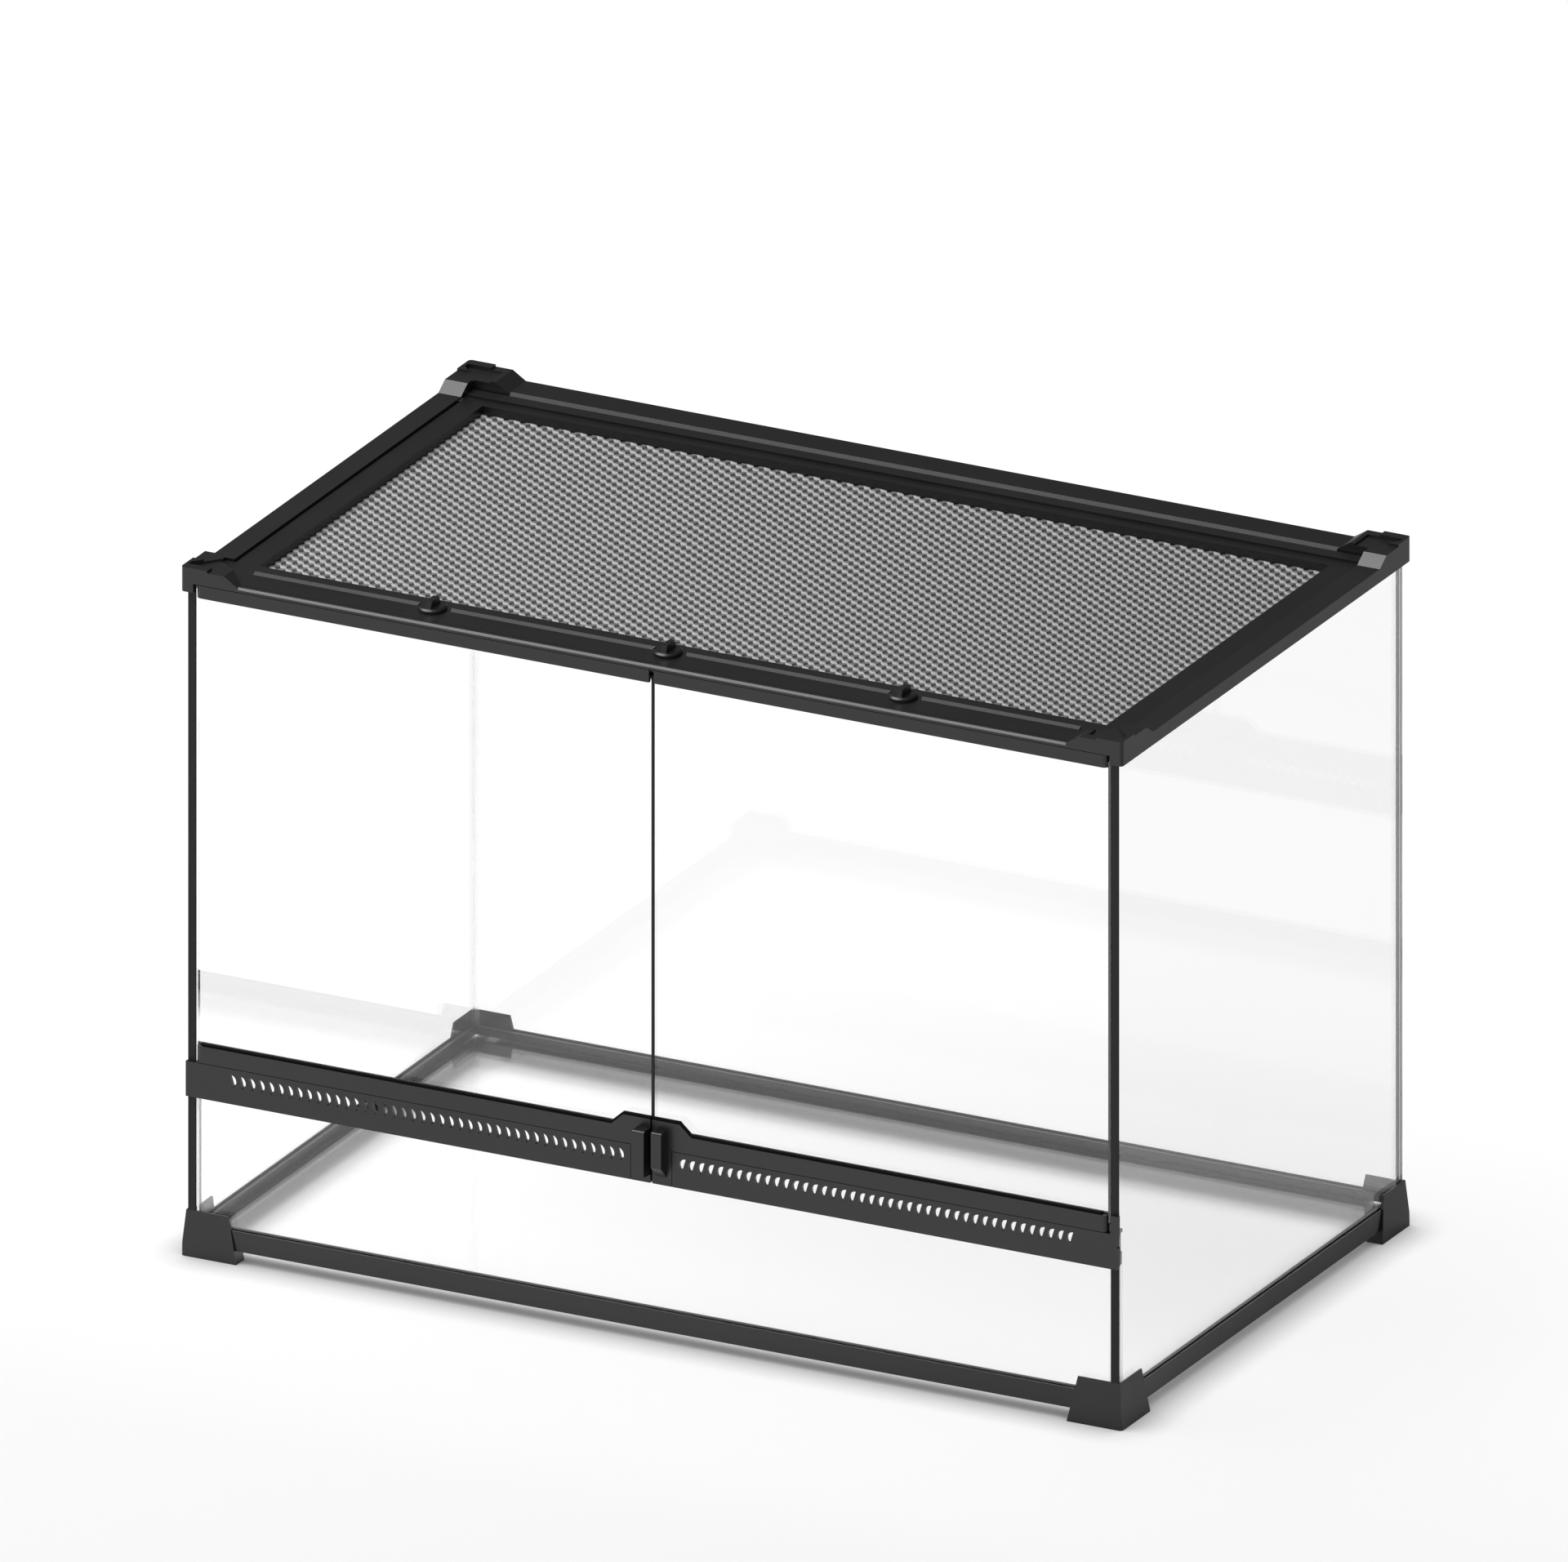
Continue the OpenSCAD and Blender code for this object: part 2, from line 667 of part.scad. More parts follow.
module lid_frame() {
    outside = mesh_lap + glass_gap;
    difference() {
        union() {
            translate([0, 0, lid_z]) linear_extrude(lid_t) lid_plan();
            opening_ring(0, outside + rib_t, mesh_top, lid_z + cut);
            opening_ring(outside, outside + rib_t, mesh_top - rib_h, mesh_top + cut);
            for (side = [-1, 1]) sided(side)
                translate([half_w - lid_side_r - lid_knuckle_l, lid_axis_y, lid_axis_z])
                    rotate([0, 90, 0]) cylinder(lid_knuckle_l, r = lid_knuckle_r);
            difference() {
                along_x(-opening_x + 4, opening_x - 7.5) polygon([
                    [pocket_front, rail_z - cut], [pocket_front, rail_z + ridge_h],
                    [pocket_front - ridge_w, rail_z], [pocket_front - ridge_w, rail_z - cut]]);
                for (x = lock_xs) translate([x, lock_y, rail_z - 2 * cut]) cylinder(4, r = knob_l / 2 + 1.4);
            }
        }
        block([-half_w, pocket_front, pocket_z], [half_w, pocket_back, rail_z + 2 * cut]);
        block([-opening_x, opening_front, mesh_top - cut], [opening_x, opening_back, rail_z + cut]);
        block([-half_w, -half_d, lid_z - cut],
              [half_w, -half_d + lid_rebate_r, lid_z + lip_web_t + part_gap]);
        difference() {
            block([-half_w, lid_axis_y, lid_axis_z], [half_w, half_d, rail_z + cut]);
            translate([-half_w - cut, lid_axis_y, lid_axis_z])
                rotate([0, 90, 0]) cylinder(tank_w + 2 * cut, r = lid_knuckle_r);
        }
        for (side = [-1, 1]) sided(side)
            translate([half_w - lid_side_r - lid_knuckle_l - cut, lid_axis_y, lid_axis_z])
                rotate([0, 90, 0]) cylinder(lid_knuckle_l + 2 * cut, r = lid_pin_r + pin_gap);
        for (x = lock_xs)
            translate([x, lock_y, lid_z - cut]) cylinder(lid_t + 2 * cut, r = shaft_r + pin_gap);
    }
}

module lid_member(low, high) {
    color("#2a2a2a") placed() intersection() {
        lid_frame();
        block([low[0], low[1], lid_z - 20], [high[0], high[1], rail_z + 10]);
    }
}

// Openings of the screen, in staggered rows, drawn flat
module mesh_openings() {
    columns = floor(2 * opening_x / mesh_cell_x);
    rows = floor((opening_back - opening_front) / mesh_cell_y);
    cell_x = 2 * opening_x / columns;
    cell_y = (opening_back - opening_front) / rows;
    half_x = cell_x / 2 - mesh_strand / 2 / sin(atan2(cell_y, cell_x));
    half_y = half_x * cell_y / cell_x;
    for (i = [0 : columns - 1], j = [0 : rows - 1])
        translate([-opening_x + (i + 0.5) * cell_x, opening_front + (j + 0.5) * cell_y])
            polygon([[-half_x, 0], [0, -half_y], [half_x, 0], [0, half_y]]);
    for (i = [1 : columns - 1], j = [1 : rows - 1])
        translate([-opening_x + i * cell_x, opening_front + j * cell_y])
            polygon([[-half_x, 0], [0, -half_y], [half_x, 0], [0, half_y]]);
}

module lid_screen() {
    size = [2 * (opening_x + mesh_lap), opening_back - opening_front + 2 * mesh_lap];
    translate([0, 0, mesh_top - mesh_t]) linear_extrude(mesh_t) difference() {
        translate([-size[0] / 2, opening_front - mesh_lap]) square(size);
        mesh_openings();
    }
}

module retainer_strips() {
    top = mesh_top - mesh_t;
    in = mesh_lap - retainer_w;
    for (side = [-1, 1]) sided(side)
        block([opening_x + in, opening_front - in, top - retainer_t],
              [opening_x + mesh_lap, opening_back + in, top]);
    block([-opening_x - in, opening_front - mesh_lap, top - retainer_t],
          [opening_x + in, opening_front - in, top]);
    block([-opening_x - in, opening_back + in, top - retainer_t],
          [opening_x + in, opening_back + mesh_lap, top]);
}

module lid_pin_pair() {
    for (side = [-1, 1]) sided(side)
        translate([half_w - lid_side_r - lid_knuckle_l + 0.5, lid_axis_y, lid_axis_z])
            rotate([0, 90, 0])
                cylinder(lid_knuckle_l + lid_side_gap + side_rail_w - groove_in - 1.3, r = lid_pin_r);
}

// Lid locks

module knob_base() {
    straight = knob_l - knob_w;
    for (end = [-1, 1]) translate([0, end * straight / 2]) circle(knob_w / 2);
    square([knob_w, straight], center = true);
}

module knob_slope() {
    straight = knob_l - knob_w;
    top_r = knob_w / 2 - knob_slope_w;
    for (end = [-1, 1]) translate([0, end * straight / 2, 0])
        cylinder(knob_slope_w, r1 = knob_w / 2, r2 = top_r);
    along_y(-straight / 2, straight / 2)
        polygon([[-knob_w / 2, 0], [knob_w / 2, 0], [top_r, knob_slope_w], [-top_r, knob_slope_w]]);
}

module knob(i) {
    fin_l = knob_l - 4;
    color("#222222") placed() translate([lock_xs[i], lock_y, 0]) {
        translate([0, 0, knob_z]) linear_extrude(knob_h - knob_slope_w) knob_base();
        translate([0, 0, knob_z + knob_h - knob_slope_w]) knob_slope();
        translate([0, 0, knob_z + knob_h]) rotate([90, 0, 90]) translate([0, 0, -fin_t / 2])
            linear_extrude(fin_t)
                polygon([[-fin_l / 2, -cut], [fin_l / 2, -cut],
                         [fin_l / 2 - 1.5, fin_h], [-fin_l / 2 + 1.5, fin_h]]);
        translate([0, 0, cam_top]) cylinder(knob_z - cam_top + cut, r = shaft_r);
        translate([0, 0, cam_top - cam_t]) cylinder(cam_t + cut, r = neck_r);
    }
}

module cam(i) {
    color("#1c1c1c") placed() translate([lock_xs[i], lock_y, cam_top - cam_t]) difference() {
        union() {
            cylinder(cam_t, r = cam_w / 2 + 0.6);
            block([0, -cam_w / 2, 0], [cam_reach - cam_w / 2, cam_w / 2, cam_t]);
            translate([cam_reach - cam_w / 2, 0, 0]) cylinder(cam_t, r = cam_w / 2);
        }
        translate([0, 0, -cut]) cylinder(cam_t + 2 * cut, r = neck_r + pin_gap);
    }
}

// Named pieces

black = "#2a2a2a";
clear = "#dfe8e8";

module foot_front_left() { color(black) placed() sided(-1) at_front() back_foot(); }
module foot_front_right() { color(black) placed() at_front() back_foot(); }
module foot_back_left() { color(black) placed() sided(-1) back_foot(); }
module foot_back_right() { color(black) placed() back_foot(); }
module base_rail_front() { color(black) placed() at_front() back_base_rail(); }
module base_rail_back() { color(black) placed() back_base_rail(); }
module base_rail_left() { color(black) side_base_rail(-1); }
module base_rail_right() { color(black) side_base_rail(1); }

module floor_glass() {
    in = foot_w + glass_gap;
    color(clear, 0.35) placed()
        block([-half_w + in, -half_d + in, glass_seat], [half_w - in, half_d - in, floor_top]);
}
module side_glass_left() { color(clear, 0.35) side_pane(-1); }
module side_glass_right() { color(clear, 0.35) side_pane(1); }
module back_glass() { color(clear, 0.35) placed() cross_pane(glass_top); }
module front_glass() { color(clear, 0.35) placed() at_front() cross_pane(strip_glass_top); }
module edge_trim_left() { color("#333333") edge_trim(-1); }
module edge_trim_right() { color("#333333") edge_trim(1); }
module corner_beads() {
    color("#e8ecec") placed() for (side = [-1, 1]) sided(side) {
        corner_bead(top_z);
        at_front() corner_bead(strip_z);
    }
}

module cap_front_left() { front_cap(-1); }
module cap_front_right() { front_cap(1); }
module cap_back_left() { back_cap(-1); }
module cap_back_right() { back_cap(1); }
module top_rail_front() {
    end_x = half_w - cap_arm_x;
    color(black) placed() at_front() along_x(-end_x, end_x) back_profile(front_rail_points());
}
module top_rail_back() {
    end_x = half_w - cap_arm_x;
    color(black) placed() along_x(-end_x, end_x) back_profile(back_rail_points());
}
module top_rail_left() { color(black) side_top_rail(-1); }
module top_rail_right() { color(black) side_top_rail(1); }

module door_left_glass() { color(clear, 0.35) door_pane(-1); }
module door_left_top_rail() { color(black) door_top_rail(-1); }
module door_left_bottom_rail() { color(black) door_bottom_rail(-1); }
module door_left_handle() { color(black) door_handle(-1, 0.3, pull_w, pull_proud, 1); }
module door_left_seal() {
    color("#3a3a3a") placed()
        block([-door_split / 2, -half_d + door_glass_r, door_glass_z],
              [door_split / 2 - part_gap - 0.1, -half_d + door_glass_r + glass_t, door_glass_top]);
}
module door_left_pins() { color("silver") door_pins(-1); }
module door_right_glass() { color(clear, 0.35) door_pane(1); }
module door_right_top_rail() { color(black) door_top_rail(1); }
module door_right_bottom_rail() { color(black) door_bottom_rail(1); }
module door_right_handle() { color(black) door_handle(1, blade_x, blade_w, pull_proud - pull_step, 6); }
module door_right_pins() { color("silver") door_pins(1); }

module lid_front() { lid_member([-half_w, -half_d], [half_w, opening_front]); }
module lid_back() { lid_member([-half_w, opening_back], [half_w, half_d]); }
module lid_left() { lid_member([-half_w, opening_front], [-opening_x, opening_back]); }
module lid_right() { lid_member([opening_x, opening_front], [half_w, opening_back]); }
module lid_mesh() { color("#b4b4b4") placed() lid_screen(); }
module mesh_retainers() { color("#202020") placed() retainer_strips(); }
module lid_pins() { color("silver") placed() lid_pin_pair(); }
module knob_left() { knob(0); }
module knob_middle() { knob(1); }
module knob_right() { knob(2); }
module cam_left() { cam(0); }
module cam_middle() { cam(1); }
module cam_right() { cam(2); }

foot_front_left();
foot_front_right();
foot_back_left();
foot_back_right();
base_rail_front();
base_rail_back();
base_rail_left();
base_rail_right();
floor_glass();
side_glass_left();
side_glass_right();
back_glass();
front_glass();
edge_trim_left();
edge_trim_right();
corner_beads();
vent_strip();
cap_front_left();
cap_front_right();
cap_back_left();
cap_back_right();
top_rail_front();
top_rail_back();
top_rail_left();
top_rail_right();
door_left_glass();
door_left_top_rail();
door_left_bottom_rail();
door_left_handle();
door_left_seal();
door_left_pins();
door_right_glass();
door_right_top_rail();
door_right_bottom_rail();
door_right_handle();
door_right_pins();
lid_front();
lid_back();
lid_left();
lid_right();
lid_mesh();
mesh_retainers();
lid_pins();
knob_left();
knob_middle();
knob_right();
cam_left();
cam_middle();
cam_right();
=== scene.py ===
# %% [markdown]
# # A front-opening glass terrarium
# The CAD model gives every pane, rail, cap, hinge pin and lock its place and size. This script dresses it:
# it gives each part the finish of the real one, lays the full screen into the lid and sets up the studio.

# %% Load the frame
import json
import math

import bmesh
import bpy
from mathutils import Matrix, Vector


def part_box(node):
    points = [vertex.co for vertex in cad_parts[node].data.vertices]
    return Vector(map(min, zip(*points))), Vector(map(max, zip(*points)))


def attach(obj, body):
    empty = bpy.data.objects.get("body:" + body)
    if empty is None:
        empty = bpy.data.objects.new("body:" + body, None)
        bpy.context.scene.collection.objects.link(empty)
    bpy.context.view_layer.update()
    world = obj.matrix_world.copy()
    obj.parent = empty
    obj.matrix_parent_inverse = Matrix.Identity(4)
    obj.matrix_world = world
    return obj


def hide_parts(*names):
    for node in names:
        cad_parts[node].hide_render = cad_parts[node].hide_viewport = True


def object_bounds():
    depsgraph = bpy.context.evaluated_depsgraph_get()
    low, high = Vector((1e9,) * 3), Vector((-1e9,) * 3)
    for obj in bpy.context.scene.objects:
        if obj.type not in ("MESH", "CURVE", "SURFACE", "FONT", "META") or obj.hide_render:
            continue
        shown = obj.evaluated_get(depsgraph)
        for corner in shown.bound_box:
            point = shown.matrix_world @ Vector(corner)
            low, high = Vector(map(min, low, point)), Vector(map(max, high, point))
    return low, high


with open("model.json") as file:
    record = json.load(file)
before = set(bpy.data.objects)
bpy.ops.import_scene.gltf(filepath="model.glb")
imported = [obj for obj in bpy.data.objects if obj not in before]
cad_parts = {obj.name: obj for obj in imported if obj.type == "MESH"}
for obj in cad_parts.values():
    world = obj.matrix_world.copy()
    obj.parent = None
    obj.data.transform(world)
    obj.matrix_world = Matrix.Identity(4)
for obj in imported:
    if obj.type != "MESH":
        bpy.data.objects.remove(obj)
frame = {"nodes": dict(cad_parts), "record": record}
cad_low, cad_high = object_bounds()
nodes = frame["nodes"]
print("CAD box in metres:", [round(v, 4) for v in cad_low], [round(v, 4) for v in cad_high])

# %% [markdown]
# ## Colours and nodes
# Colours are picked as they look on a screen, in hex, while a renderer works in linear light. One function
# turns the first into the second. A second function adds one shader node and wires it, which keeps each
# finish below down to a short list of what it is made of. The last two hold what several steps share: a soft
# noise and the few lines that put a mesh into the scene.

# %% Helpers
MM = 0.001


def linear_colour(hex_text):
    """The linear RGBA colour of an sRGB hex text such as '#1d1d1e'."""
    screen = [int(hex_text[i:i + 2], 16) / 255 for i in (1, 3, 5)]
    return (*(c / 12.92 if c <= 0.04045 else ((c + 0.055) / 1.055) ** 2.4 for c in screen), 1.0)


def add_node(tree, kind, settings=None, inputs=None):
    """Adds a node, sets its properties and fills its inputs with values or with links."""
    node = tree.nodes.new(kind)
    for name, value in (settings or {}).items():
        setattr(node, name, value)
    for name, value in (inputs or {}).items():
        if isinstance(value, bpy.types.NodeSocket):
            tree.links.new(value, node.inputs[name])
        else:
            node.inputs[name].default_value = value
    return node


def new_finish(name):
    """An empty node material and its tree."""
    finish = bpy.data.materials.new(name)
    finish.use_nodes = True
    finish.node_tree.nodes.clear()
    return finish, finish.node_tree


def show_surface(tree, shader):
    """Sends a shader to the material's surface."""
    add_node(tree, "ShaderNodeOutputMaterial", inputs={"Surface": shader.outputs[0]})


def mottle(tree, size_mm, detail=2.0):
    """A noise fixed to the object, whose patches are about as large as the given size."""
    place = add_node(tree, "ShaderNodeTexCoord").outputs["Object"]
    noise = add_node(tree, "ShaderNodeTexNoise", inputs={
        "Vector": place, "Scale": 1 / (size_mm * MM), "Detail": detail})
    return noise.outputs["Fac"]


def add_piece(name, shape, *surfaces):
    """Puts a mesh into the scene with its finishes."""
    piece = bpy.data.objects.new(name, shape)
    bpy.context.collection.objects.link(piece)
    for surface in surfaces:
        shape.materials.append(surface)
    return piece


print("black frame colour in linear light:", [round(c, 4) for c in linear_colour("#101010")])

# %% [markdown]
# ## Moulded ABS
# The frame is injection-moulded ABS in black. A moulding copies the tool's fine spark-eroded grain, so the
# plastic is never a mirror: it shows a broad soft sheen, with faint flow marks where the melt ran. The
# colour could be one flat black, but a slow noise that shifts colour and roughness a little, and a fine bump
# for the grain, keep large faces from looking computed. Real grain is about 0.15 mm and would be lost in the
# picture, so it is drawn at 0.5 mm. The lid and the rail behind it come from a tool that is etched duller, so
# they mirror less; the turn knobs come from a polished one.

# %% Moulded ABS
ABS_IOR = 1.54
FLOW_MARK_MM = 45
FLOW_MARK_ROUGHNESS = 0.04
GRAIN_MM = 0.5


def moulded_abs(name, dark, light, roughness, grain_depth_mm, shine=0.5):
    """Injection-moulded ABS: two close blacks, a soft sheen and a fine grain."""
    finish, tree = new_finish(name)
    flow = mottle(tree, FLOW_MARK_MM, detail=3.0)
    colour = add_node(tree, "ShaderNodeMix", {"data_type": "RGBA"}, {
        "Factor": flow, 6: linear_colour(dark), 7: linear_colour(light)})
    sheen = add_node(tree, "ShaderNodeMapRange", inputs={
        "Value": flow, "From Min": 0.3, "From Max": 0.7,
        "To Min": roughness - FLOW_MARK_ROUGHNESS, "To Max": roughness + FLOW_MARK_ROUGHNESS})
    bump = add_node(tree, "ShaderNodeBump", inputs={
        "Height": mottle(tree, GRAIN_MM), "Distance": grain_depth_mm * MM, "Strength": 0.5})
    plastic = add_node(tree, "ShaderNodeBsdfPrincipled", inputs={
        "Base Color": colour.outputs[2], "Roughness": sheen.outputs["Result"],
        "IOR": ABS_IOR, "Specular IOR Level": shine, "Normal": bump.outputs["Normal"]})
    show_surface(tree, plastic)
    return finish


frame_abs = moulded_abs("abs_moulded_black", "#101010", "#151516", roughness=0.34, grain_depth_mm=0.02)
etched_abs = moulded_abs("abs_etched_black", "#101010", "#151516", roughness=0.36, grain_depth_mm=0.02,
                         shine=0.36)
knob_abs = moulded_abs("abs_polished_black", "#0c0c0c", "#111112", roughness=0.3, grain_depth_mm=0.008)
print("ABS finishes:", frame_abs.name, etched_abs.name, knob_abs.name)

# %% [markdown]
# ## Float glass
# The panes are plain 4 mm float glass. It lets nearly all light through, mirrors about 4% at each face and
# looks pale green only along its cut edges, because there the light travels through the width of the pane.
# A glass shader alone would block the lamps and fill the tank with grey shadow, so rays from the lamps
# pass straight through instead, and the panes are left out of all shadows, also of the soft contact shadow.

# %% Float glass
FLOAT_GLASS_IOR = 1.52


def float_glass(name, tint):
    """Clear float glass that lets lamps through."""
    finish, tree = new_finish(name)
    pane = add_node(tree, "ShaderNodeBsdfPrincipled", inputs={
        "Base Color": linear_colour(tint), "Roughness": 0.0, "IOR": FLOAT_GLASS_IOR,
        "Transmission Weight": 1.0})
    clear = add_node(tree, "ShaderNodeBsdfTransparent", inputs={"Color": linear_colour(tint)})
    rays = add_node(tree, "ShaderNodeLightPath")
    both = add_node(tree, "ShaderNodeMixShader", inputs={
        0: rays.outputs["Is Shadow Ray"], 1: pane.outputs[0], 2: clear.outputs[0]})
    show_surface(tree, both)
    return finish


pane_glass = float_glass("float_glass_clear", "#fefefe")
print("glass:", pane_glass.name)

# %% [markdown]
# ## Silicone, vinyl and steel
# The panes are bonded with clear silicone, which cures to a cloudy, slightly rubbery bead. It wets both
# panes, so light crosses it almost without bending: most of it is drawn as plainly see-through. The thin
# trims and the strip between the doors are extruded vinyl, both duller than the mouldings. The door gaskets
# are a near-black, barely shiny rubber, which is painted shade: it draws the dark band along the top of each
# door rail, where the rail's back lip lies in shadow. The pins are turned steel: a metal keeps its default
# IOR, and a fine noise gives turning marks.

# %% Silicone, vinyl and steel
SILICONE_IOR = 1.41
SILICONE_CLEAR_SHARE = 0.7
SILICONE_CLOUD_MM = 6
POLYMER_IOR = 1.5
POLYMER_MOTTLE_MM = 3
TURNING_MARK_MM = 0.4


def cured_silicone(name, colour):
    """Clear sealant with a cloudy body."""
    finish, tree = new_finish(name)
    rough = add_node(tree, "ShaderNodeMapRange", inputs={
        "Value": mottle(tree, SILICONE_CLOUD_MM), "To Min": 0.06, "To Max": 0.16})
    bead = add_node(tree, "ShaderNodeBsdfPrincipled", inputs={
        "Base Color": linear_colour(colour), "Roughness": rough.outputs["Result"],
        "IOR": SILICONE_IOR, "Transmission Weight": 0.96})
    clear = add_node(tree, "ShaderNodeBsdfTransparent")
    rays = add_node(tree, "ShaderNodeLightPath")
    share = add_node(tree, "ShaderNodeMath", {"operation": "MAXIMUM"}, {
        0: rays.outputs["Is Shadow Ray"], 1: SILICONE_CLEAR_SHARE})
    both = add_node(tree, "ShaderNodeMixShader", inputs={
        0: share.outputs[0], 1: bead.outputs[0], 2: clear.outputs[0]})
    show_surface(tree, both)
    return finish


def turned_steel(name, colour):
    """Bright steel with fine turning marks."""
    finish, tree = new_finish(name)
    rough = add_node(tree, "ShaderNodeMapRange", inputs={
        "Value": mottle(tree, TURNING_MARK_MM), "To Min": 0.22, "To Max": 0.38})
    steel = add_node(tree, "ShaderNodeBsdfPrincipled", inputs={
        "Base Color": linear_colour(colour), "Metallic": 1.0, "Roughness": rough.outputs["Result"]})
    show_surface(tree, steel)
    return finish


def soft_polymer(name, dark, light, shine):
    """Dull vinyl or rubber with a faint mottle."""
    finish, tree = new_finish(name)
    colour = add_node(tree, "ShaderNodeMix", {"data_type": "RGBA"}, {
        "Factor": mottle(tree, POLYMER_MOTTLE_MM), 6: linear_colour(dark), 7: linear_colour(light)})
    body = add_node(tree, "ShaderNodeBsdfPrincipled", inputs={
        "Base Color": colour.outputs[2], "Roughness": 0.7, "IOR": POLYMER_IOR,
        "Specular IOR Level": shine})
    show_surface(tree, body)
    return finish


silicone = cured_silicone("silicone_cured_clear", "#fafafa")
trim_vinyl = soft_polymer("vinyl_extruded_black", "#121213", "#19191a", shine=0.42)
# painted shade: the near-black, dull rubber draws the dark band of the rail's shaded back lip
gasket_painted_shade = soft_polymer("rubber_gasket_painted_shade", "#050505", "#090909", shine=0.1)
pin_steel = turned_steel("steel_turned", "#c4c4c6")
print("small finishes:", silicone.name, trim_vinyl.name, gasket_painted_shade.name, pin_steel.name)

# %% [markdown]
# ## Finish the CAD parts
# Each CAD part already names its material slot in the record, so one table from slot to finish dresses all
# of them. The mouldings also get a narrow bevel: no moulded edge is truly sharp, and it is the rounded edge
# that catches the light. Coplanar triangles are merged first, so that the bevel follows real edges only. A
# bevel is kept narrower than the shortest edge beside it, but on the round knobs that would leave nothing.

# %% Finish the CAD parts
finishes = {
    "frame_black": frame_abs, "knob_black": knob_abs, "trim_grey": trim_vinyl,
    "glass_clear": pane_glass, "silicone_clear": silicone, "mesh_grey": pin_steel, "pin_steel": pin_steel}
slot_of = {part["node"]: part["material_slot"] for part in frame["record"]["subparts"]}
EDGE_MM = {"frame_black": 0.35, "knob_black": 0.45, "glass_clear": 0.25}
FLAT_DEGREES = 0.5
CORNER_DEGREES = 50
ETCHED_PARTS = ("lid_front", "lid_back", "lid_left", "lid_right", "top_rail_back")

for name, part in nodes.items():
    slot = slot_of[name]
    part.data.materials.clear()
    part.data.materials.append(etched_abs if name in ETCHED_PARTS else finishes[slot])
    part.visible_shadow = slot not in ("glass_clear", "silicone_clear")
    if slot in EDGE_MM:
        merge = part.modifiers.new("merge flat faces", "DECIMATE")
        merge.decimate_type = "DISSOLVE"
        merge.angle_limit = math.radians(FLAT_DEGREES)
        edge = part.modifiers.new("moulded edge", "BEVEL")
        edge.width = EDGE_MM[slot] * MM
        edge.segments = 2
        edge.limit_method = "ANGLE"
        edge.angle_limit = math.radians(CORNER_DEGREES)
        edge.use_clamp_overlap = slot != "knob_black"
print("dressed", len(nodes), "CAD parts")

# %% [markdown]
# ## Lid screen
# The lid holds a sheet of expanded steel: a strip is slit and pulled, so that the slits open into rhombs. It
# could be an image with see-through holes, but it is seen from close by and at a flat angle, where the
# thickness of each strand hides most of the hole. So each mesh is built: its strands are shared between
# neighbours, crowned a little on top and twisted a little, as the pull leaves them. The slit edges lean
# forward. Three finishes paint light and shade into the one grey coating: strands that run one way get a
# lighter grey as painted light, those that run the other way a darker copy of it as painted shade, and the
# slit edges a near-black painted shade that stands for the shaded inside of each hole.

# %% Lid screen finishes
STRAND_IOR = 1.5
STRAND_PATCH_MM = 5


def coated_strand(name, pale, dull, roughness):
    """Thin grey coating on steel, a little uneven from strand to strand; here its colours carry painted light
    and shade.
    """
    finish, tree = new_finish(name)
    colour = add_node(tree, "ShaderNodeMix", {"data_type": "RGBA"}, {
        "Factor": mottle(tree, STRAND_PATCH_MM), 6: linear_colour(pale), 7: linear_colour(dull)})
    coat = add_node(tree, "ShaderNodeBsdfPrincipled", inputs={
        "Base Color": colour.outputs[2], "Roughness": roughness, "IOR": STRAND_IOR})
    show_surface(tree, coat)
    return finish


# painted light and shade: the lighter grey stands for strands lit by the soft box, the darker copy for
# strands turned away from it
strand_painted_lit = coated_strand("steel_coated_painted_lit", "#aaaaaa", "#969696", roughness=0.4)
strand_painted_shade = coated_strand("steel_coated_painted_shade", "#626262", "#545454", roughness=0.5)
# painted shade: the near-black slit edges stand for the shaded inside of each hole
slit_edge_painted_shade = coated_strand("steel_slit_painted_shade", "#1e1e1f", "#141415", roughness=0.55)
print("screen finishes:", strand_painted_lit.name, strand_painted_shade.name, slit_edge_painted_shade.name)

# %% Rhombs of the screen
RHOMB_X_MM = 8.85
RHOMB_Y_MM = 6.1
HOLE_X_MM = 1.6
HOLE_Y_MM = 2.0
HOLE_LOW_SHARE = 0.6
CROWN_MM = 0.3
TWIST_MM = 0.2
SLANT_MM = 1.5
WELD_MM = 0.01

sheet_low, sheet_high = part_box("lid_mesh")
columns = round((sheet_high[0] - sheet_low[0]) / (RHOMB_X_MM * MM)) + 1
rows = round((sheet_high[1] - sheet_low[1]) / (RHOMB_Y_MM * MM)) + 1
middle = (Vector(sheet_low) + Vector(sheet_high)) / 2
half_x, half_y = RHOMB_X_MM * MM / 2, RHOMB_Y_MM * MM / 2


def rhomb_corners(x, y, reach_x, reach_y, z, tilt=0.0):
    """The left, front, right and back corner of a rhomb about x, y, whose back may be tilted up."""
    return [(x - reach_x, y, z), (x, y - reach_y, z - tilt), (x + reach_x, y, z), (x, y + reach_y, z + tilt)]


def rhomb_centres():
    """The centres of all rhombs, in rows that are staggered by half a rhomb."""
    for row in range(-rows, rows + 1):
        shift = half_x if row % 2 else 0.0
        for column in range(-(columns // 2) - 1, columns // 2 + 2):
            yield middle.x + shift + 2 * half_x * column, middle.y + half_y * row


print("screen lattice:", columns, "columns and", rows, "rows of rhombs")

